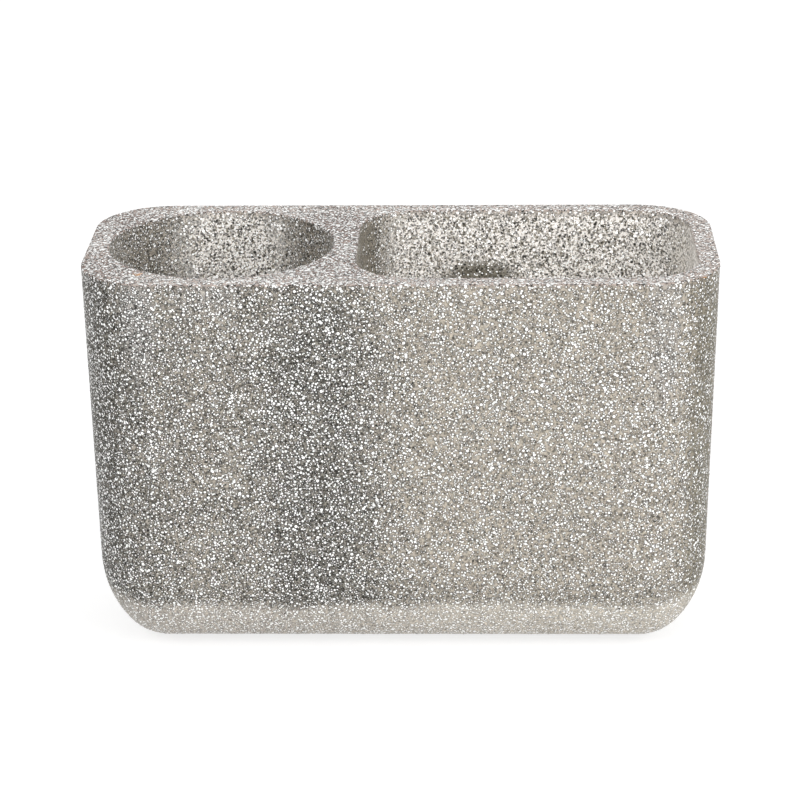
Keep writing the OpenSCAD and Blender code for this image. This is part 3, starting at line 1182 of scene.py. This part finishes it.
class Glitter:
    """Hexagonal flakes strewn over a surface by Geometry Nodes."""

    SIDES = 6
    TAPER = 0.7
    LEAN_SEED, SIZE_SEED, SHADE_SEED = 3, 5, 7
    SIZE_SKEW = 1.7
    UV_REACH = 0.42
    INPUTS = {
        "Density": ("NodeSocketFloat", "density"),
        "Where": ("NodeSocketString", "where"),
        "Smallest": ("NodeSocketFloat", "smallest"),
        "Largest": ("NodeSocketFloat", "largest"),
        "Thickness": ("NodeSocketFloat", "thickness"),
        "Proud": ("NodeSocketFloat", "proud"),
        "Tilt": ("NodeSocketFloat", "tilt"),
        "Seed": ("NodeSocketInt", "seed"),
        "Finish": ("NodeSocketMaterial", "finish"),
    }

    def __init__(self) -> None:
        """Builds the tree once."""
        self.tree = bpy.data.node_groups.new("glitter", "GeometryNodeTree")
        faces = self.tree.interface
        faces.new_socket(name="Surface", in_out="INPUT", socket_type="NodeSocketGeometry")
        self.sockets = {
            label: faces.new_socket(name=label, in_out="INPUT", socket_type=kind).identifier
            for label, (kind, _) in self.INPUTS.items()
        }
        faces.new_socket(name="Flakes", in_out="OUTPUT", socket_type="NodeSocketGeometry")
        self.wire()

    def wire(self) -> None:
        """Joins the nodes that scatter, shape, turn and shade the flakes."""
        wiring = Wiring(self.tree)
        given = self.tree.nodes.new("NodeGroupInput").outputs
        where = wiring.place("GeometryNodeInputNamedAttribute", {"Name": given["Where"]}).outputs[0]
        feeds = {"Mesh": given["Surface"], "Density": wiring.product(given["Density"], where)}
        spread = wiring.place("GeometryNodeDistributePointsOnFaces", {**feeds, "Seed": given["Seed"]}).outputs
        feeds = {"Vertices": self.SIDES, "Radius Top": self.TAPER * MM, "Radius Bottom": MM}
        plate = wiring.place("GeometryNodeMeshCone", {**feeds, "Depth": given["Thickness"]}).outputs
        # The plate's sloped sides are marked for the painted shadow round each flake
        flake_shadow = self.marked(wiring, plate[0], "edge", plate["Side"], "FACE")
        lift = wiring.math("SUBTRACT", given["Proud"], given["Thickness"])
        offset = self.vector(wiring, 0.0, lift)
        sunk = wiring.place("GeometryNodeTransform", {0: flake_shadow, "Translation": offset}).outputs[0]
        least = self.vector(wiring, wiring.product(given["Tilt"], -1.0), -math.pi)
        most = self.vector(wiring, given["Tilt"], math.pi)
        feeds = {0: least, 1: most, "Seed": self.LEAN_SEED}
        lean = wiring.place("FunctionNodeRandomValue", feeds, data_type="FLOAT_VECTOR").outputs[0]
        leaning = wiring.place("FunctionNodeEulerToRotation", {0: lean}).outputs[0]
        feeds = {0: spread["Rotation"], 1: leaning}
        turn = wiring.place("FunctionNodeRotateRotation", feeds, rotation_space="LOCAL").outputs[0]
        share = wiring.math("POWER", self.random(wiring, self.SIZE_SEED), self.SIZE_SKEW)
        size = wiring.fade(share, given["Smallest"], given["Largest"], smooth=False)
        feeds = {"Points": spread["Points"], "Instance": sunk, "Rotation": turn}
        feeds["Scale"] = self.vector(wiring, size, 1.0)
        flakes = wiring.place("GeometryNodeInstanceOnPoints", feeds).outputs[0]
        shaded = self.marked(wiring, flakes, "shade", self.random(wiring, self.SHADE_SEED), "INSTANCE")
        real = wiring.place("GeometryNodeRealizeInstances", {0: shaded}).outputs[0]
        feeds = {"Geometry": real, "Material": given["Finish"]}
        wiring.place("NodeGroupOutput", {0: wiring.place("GeometryNodeSetMaterial", feeds).outputs[0]})

    @staticmethod
    def random(wiring: Wiring, seed: int) -> Feed:
        """Returns a number from 0 to 1 that differs from flake to flake."""
        return wiring.place("FunctionNodeRandomValue", {2: 0.0, 3: 1.0, "Seed": seed}).outputs[1]

    @staticmethod
    def vector(wiring: Wiring, level: Feed, upright: Feed) -> Feed:
        """Returns a vector with one value along both level axes and another upright."""
        return wiring.place("ShaderNodeCombineXYZ", {0: level, 1: level, 2: upright}).outputs[0]

    @staticmethod
    def marked(wiring: Wiring, shape: Feed, name: str, value: Feed, domain: str) -> Feed:
        """Returns a shape that keeps a value under a name."""
        feeds = {"Geometry": shape, "Name": name, "Value": value}
        return wiring.place("GeometryNodeStoreNamedAttribute", feeds, domain=domain).outputs[0]

    def strew(self, name: str, host: bpy.types.Object, bed: "GlitterBed") -> bpy.types.Object:
        """Makes the flakes of one region.

        Args:
            name: Name of the piece.
            host: The block.
            bed: Sizes and numbers of the flakes.

        Returns:
            A plain mesh object with all the flakes.
        """
        carrier = in_scene("carrier", host.data)
        modifier = carrier.modifiers.new("glitter", "NODES")
        modifier.node_group = self.tree
        for label, (_, source) in self.INPUTS.items():
            modifier[self.sockets[label]] = getattr(bed, source)
        carrier.update_tag()
        graph = bpy.context.evaluated_depsgraph_get()
        strewn = carrier.evaluated_get(graph)
        mesh = bpy.data.meshes.new_from_object(strewn, preserve_all_data_layers=True, depsgraph=graph)
        mesh.name = name
        bpy.data.objects.remove(carrier)
        self.lay_out(mesh)
        return in_scene(name, mesh)

    def lay_out(self, mesh: bpy.types.Mesh) -> None:
        """Gives each flake a square of its own in a map for baked colours."""
        corners = np.empty(len(mesh.loops), dtype=np.int32)
        mesh.loops.foreach_get("vertex_index", corners)
        flake, corner = np.divmod(corners, 2 * self.SIDES)
        across = math.ceil(math.sqrt(len(mesh.vertices) / (2 * self.SIDES)))
        angles = corner % self.SIDES * (4 * QUARTER / self.SIDES)
        reach = np.where(corner < self.SIDES, self.TAPER * self.UV_REACH, self.UV_REACH)
        places = np.column_stack([flake % across, flake // across]) + 0.5
        places += np.column_stack([np.cos(angles), np.sin(angles)]) * reach[:, None]
        mesh.uv_layers.new(name="OFBake").data.foreach_set("uv", (places / across).astype(np.float32).ravel())


@dataclass(frozen=True)
class GlitterBed:
    """Sizes and numbers of the flakes on one region of the block."""

    where: str
    per_mm2: float
    finish: bpy.types.Material
    seed: int
    smallest: float = 0.17
    largest: float = 0.38
    thickness: float = 0.1 * MM
    proud: float = 0.04 * MM
    tilt: float = math.radians(4.5)

    @property
    def density(self) -> float:
        """Flakes per square metre."""
        return self.per_mm2 / MM**2


@dataclass(frozen=True)
class CopperFleck:
    """A cluster of small copper plates that lies in the top face."""

    place: tuple[float, float]
    plates: tuple[tuple[float, float, float, float], ...]
    thickness: float = 0.12
    proud: float = 0.02
    taper: float = 0.85

    def build(self, name: str, surface: float, finish: bpy.types.Material) -> bpy.types.Object:
        """Makes the cluster as one piece.

        Args:
            name: Name of the piece.
            surface: Height of the top face.
            finish: The plates' material.

        Returns:
            The object.
        """
        sides, points, faces, shades = 6, [], [], []
        for number, (x, y, radius, turn) in enumerate(self.plates):
            first = len(points)
            for reach, height in ((radius, self.proud - self.thickness), (radius * self.taper, self.proud)):
                for side in range(sides):
                    way = toward(math.radians(turn) + side * 4 * QUARTER / sides) * reach
                    points.append([self.place[0] + x + way[0], self.place[1] + y + way[1], surface + height])
            low, high = range(first, first + sides), range(first + sides, first + 2 * sides)
            faces.extend([tuple(reversed(low)), tuple(high)])
            for here in range(sides):
                there = (here + 1) % sides
                faces.append((low[here], low[there], high[there], high[here]))
            shades.extend([number / len(self.plates)] * 2 * sides)
        fleck = new_mesh_object(name, np.array(points), faces)
        fleck.data.shade_flat()
        set_attribute(fleck.data, "shade", np.array(shades))
        fleck.data.materials.append(finish)
        return fleck


@dataclass
class FootPad:
    """A soft disc with a rounded lower edge, stuck to the flat underside."""

    node: str
    edge_r: float = 0.5
    film_t: float = 0.1
    film_inset: float = 0.25
    gate_r: float = 0.8
    gate_depth: float = 0.15
    gate_shape: tuple[tuple[float, float], ...] = ((0.0, 1.0), (0.7, 1.0), (1.0, 0.3), (1.2, 0.0))
    flat_share: float = 0.6
    spacing: float = 0.12
    sides: int = 64
    sharp_angle: float = 50.0

    def profile(self, radius: float, height: float) -> np.ndarray:
        """Returns the pad's half section from the middle below to the middle above."""
        dimple = [[self.gate_r * across, self.gate_depth * deep] for across, deep in self.gate_shape]
        centre = np.array([radius - self.edge_r, self.edge_r])
        edge = arc(centre, self.edge_r, -QUARTER, 0.0, self.spacing)
        film, above = radius - self.film_inset, height + self.film_t
        top = [[radius, height], [film, height], [film, above], [0.0, above]]
        return np.vstack([dimple, [[radius * self.flat_share, 0.0]], edge, top])

    def build(self, finish: bpy.types.Material) -> bpy.types.Object:
        """Makes the pad where its CAD node lies.

        Args:
            finish: The pad's material.

        Returns:
            The object.
        """
        low, high = (np.array(corner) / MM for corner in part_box(self.node))
        middle = (low + high) / 2
        section = self.profile((high[0] - low[0]) / 2, high[2] - low[2])
        rows = section[1:-1]
        points = [[middle[0], middle[1], section[0][1]], [middle[0], middle[1], section[-1][1]]]
        for turn in range(self.sides):
            way = toward(turn * 4 * QUARTER / self.sides)
            points.extend([*(middle[:2] + way * reach), height] for reach, height in rows)
        faces, count = [], len(rows)
        for turn in range(self.sides):
            here = 2 + turn * count
            there = 2 + (turn + 1) % self.sides * count
            faces.append((0, here, there)[::-1])
            faces.append((1, here + count - 1, there + count - 1))
            for row in range(count - 1):
                faces.append((here + row, there + row, there + row + 1, here + row + 1))
        pad = new_mesh_object(self.node.replace("foot_pad", "soft_pad"), np.array(points), faces)
        pad.data.materials.append(finish)
        pad.data.set_sharp_from_angle(angle=math.radians(self.sharp_angle))
        return pad


@dataclass(frozen=True)
class PhotoCamera:
    """The camera at the photograph's viewpoint."""

    distance: float = 0.65263
    target: tuple[float, float, float] = (0.0, 0.0, 0.0435)
    elevation: float = 21.03
    azimuth: float = 1.59
    roll: float = -0.61
    focal_pixels: float = 2851.0
    side_pixels: float = 800.0
    centre_pixels: tuple[float, float] = (3.32, 35.08)
    sensor: float = 36.0
    clip: tuple[float, float] = (0.01, 20.0)

    def place(self) -> None:
        """Adds the camera and makes it the scene's."""
        up_angle, turn, roll = (math.radians(v) for v in (self.elevation, self.azimuth, self.roll))
        level = math.cos(up_angle)
        back = Vector((math.sin(turn) * level, -math.cos(turn) * level, math.sin(up_angle)))
        right = (-back).cross(Vector((0.0, 0.0, 1.0))).normalized()
        upward = right.cross(-back)
        side = right * math.cos(roll) + upward * math.sin(roll)
        over = upward * math.cos(roll) - right * math.sin(roll)
        lens = bpy.data.cameras.new("photo_camera")
        lens.sensor_width = self.sensor
        lens.lens = self.focal_pixels / self.side_pixels * self.sensor
        lens.shift_x = -self.centre_pixels[0] / self.side_pixels
        lens.shift_y = self.centre_pixels[1] / self.side_pixels
        lens.clip_start, lens.clip_end = self.clip
        camera = in_scene("photo_camera", lens)
        turned = Matrix((side, over, back)).transposed().to_4x4()
        camera.matrix_world = Matrix.Translation(Vector(self.target) + back * self.distance) @ turned
        bpy.context.scene.camera = camera


@dataclass(frozen=True)
class Lamp:
    """A soft lamp that looks at the object."""

    name: str
    place: tuple[float, float, float]
    side: float
    power: float
    target: tuple[float, float, float] = (0.0, 0.0, 0.045)

    def hang(self) -> None:
        """Adds the lamp to the scene."""
        light = bpy.data.lights.new(self.name, "AREA")
        light.shape = "SQUARE"
        light.size = self.side
        light.energy = self.power
        lamp = in_scene(self.name, light)
        lamp.location = self.place
        aim = Vector(self.target) - Vector(self.place)
        lamp.rotation_euler = aim.to_track_quat("-Z", "Y").to_euler()


@dataclass(frozen=True)
class Studio:
    """A white floor and white surroundings under soft lamps."""

    ambient: float = 0.52
    floor_half: float = 3.0
    floor_gap: float = 0.02
    floor_colour: Colour = (0.86, 0.86, 0.86, 1.0)
    seen_floor_colour: Colour = (0.4, 0.4, 0.4, 1.0)
    floor_lift: float = 0.73
    lamps: tuple[Lamp, ...] = (
        Lamp("key_lamp", (-0.55, -0.85, 0.75), 0.7, 3.8),
        Lamp("fill_lamp", (0.8, -0.7, 0.55), 0.7, 6.2),
        Lamp("back_lamp", (0.1, 0.9, 0.8), 0.8, 3.2),
    )

    def set_up(self) -> None:
        """Lights the scene, lays the floor and sets how colours are shown."""
        scene = bpy.context.scene
        scene.view_settings.view_transform = "Standard"
        scene.world = self.surroundings()
        for lamp in self.lamps:
            lamp.hang()
        self.floor()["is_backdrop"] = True

    @staticmethod
    def seen_directly(wiring: Wiring) -> Feed:
        """Returns 1 for what the camera, a mirror or glass sees."""
        rays = wiring.place("ShaderNodeLightPath").outputs
        seen = wiring.math("MAXIMUM", rays["Is Camera Ray"], rays["Is Glossy Ray"])
        return wiring.math("MAXIMUM", seen, rays["Is Transmission Ray"])

    def surroundings(self) -> bpy.types.World:
        """Returns a world that looks white and lights softly."""
        world = bpy.data.worlds.new("white_room")
        wiring = emptied(world)
        strength = wiring.fade(self.seen_directly(wiring), self.ambient, 1.0, smooth=False)
        light = wiring.place("ShaderNodeBackground", {"Color": WHITE, "Strength": strength})
        wiring.place("ShaderNodeOutputWorld", {"Surface": light.outputs[0]})
        return world

    def floor(self) -> bpy.types.Object:
        """Returns a floor that looks white apart from the object's shadow."""
        half, level = self.floor_half / MM, -self.floor_gap
        sides = ((-1, -1), (1, -1), (1, 1), (-1, 1))
        corners = np.array([[side_x * half, side_y * half, level] for side_x, side_y in sides])
        floor = new_mesh_object("studio_floor", corners, [(0, 1, 2, 3)])
        material = bpy.data.materials.new("white_floor")
        wiring = emptied(material)
        seen = self.seen_directly(wiring)
        colour = wiring.blend(seen, self.floor_colour, self.seen_floor_colour)
        paint = wiring.place("ShaderNodeBsdfDiffuse", {"Color": colour}).outputs[0]
        lift = wiring.product(seen, self.floor_lift)
        white = wiring.place("ShaderNodeEmission", {"Color": WHITE, "Strength": lift}).outputs[0]
        both = wiring.place("ShaderNodeAddShader", {0: paint, 1: white}).outputs[0]
        # Seen from below the floor is clear, so that the underside shows
        below = wiring.place("ShaderNodeNewGeometry").outputs["Backfacing"]
        clear = wiring.place("ShaderNodeBsdfTransparent").outputs[0]
        shown = wiring.place("ShaderNodeMixShader", {0: below, 1: both, 2: clear}).outputs[0]
        wiring.place("ShaderNodeOutputMaterial", {"Surface": shown})
        floor.data.materials.append(material)
        return floor


def write_sizes() -> None:
    """Puts the CAD model's box and the visual model's box into JSON text, which is not kept."""
    boxes = {"cad": CAD_BOX, "visual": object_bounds()}
    json.dumps({name: [list(corner) for corner in box] for name, box in boxes.items()})


def main() -> None:
    """Builds the holder and its studio."""
    logging.basicConfig(level=logging.INFO, format="%(name)s: %(message)s")
    PhotoCamera().place()
    Studio().set_up()
    flakes, clouds = flake_layer(), cloud()
    form = ResinBlock()
    block = form.build(SeepingLight())
    block.data.materials.append(ResinFinish(flakes, clouds).material())
    silver = FlakeFinish("silver_foil", (0.97, 0.97, 0.95, 1.0), (0.25, 0.24, 0.22, 1.0)).material()
    copper = FlakeFinish("copper_foil", (0.47, 0.23, 0.07, 1.0), (0.32, 0.18, 0.08, 1.0)).material()
    glitter = Glitter()
    beds = {
        "glitter_outer": GlitterBed("flakes_outer", 0.27, silver, seed=11),
        "glitter_rim": GlitterBed("flakes_rim", 1.5, silver, seed=12, smallest=0.2, tilt=math.radians(3.0)),
        "glitter_wells": GlitterBed("flakes_wells", 0.2, silver, seed=13),
    }
    left_plates = ((-0.5, 0.1, 0.65, 10.0), (0.15, -0.4, 0.8, 40.0), (0.65, 0.4, 0.6, 25.0))
    right_plates = ((0.0, 0.0, 0.3, 15.0), (0.4, 0.2, 0.22, 50.0))
    flecks = {
        "copper_fleck_left": CopperFleck((-56.6, -22.3), left_plates),
        "copper_fleck_right": CopperFleck((65.5, -25.3), right_plates),
    }
    for name, fleck in flecks.items():
        hand_over(fleck.build(name, form.top - form.skin, copper), Slot.RESIN)
    for name, bed in beds.items():
        hand_over(glitter.strew(name, block, bed), Slot.RESIN)
    hand_over(block, Slot.RESIN, ["body"])
    soft = SiliconeFinish().material(clouds)
    for node in sorted(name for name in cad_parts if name.startswith("foot_pad")):
        hand_over(FootPad(node).build(soft), Slot.PAD, [node])
    write_sizes()


if __name__ == "__main__":
    main()
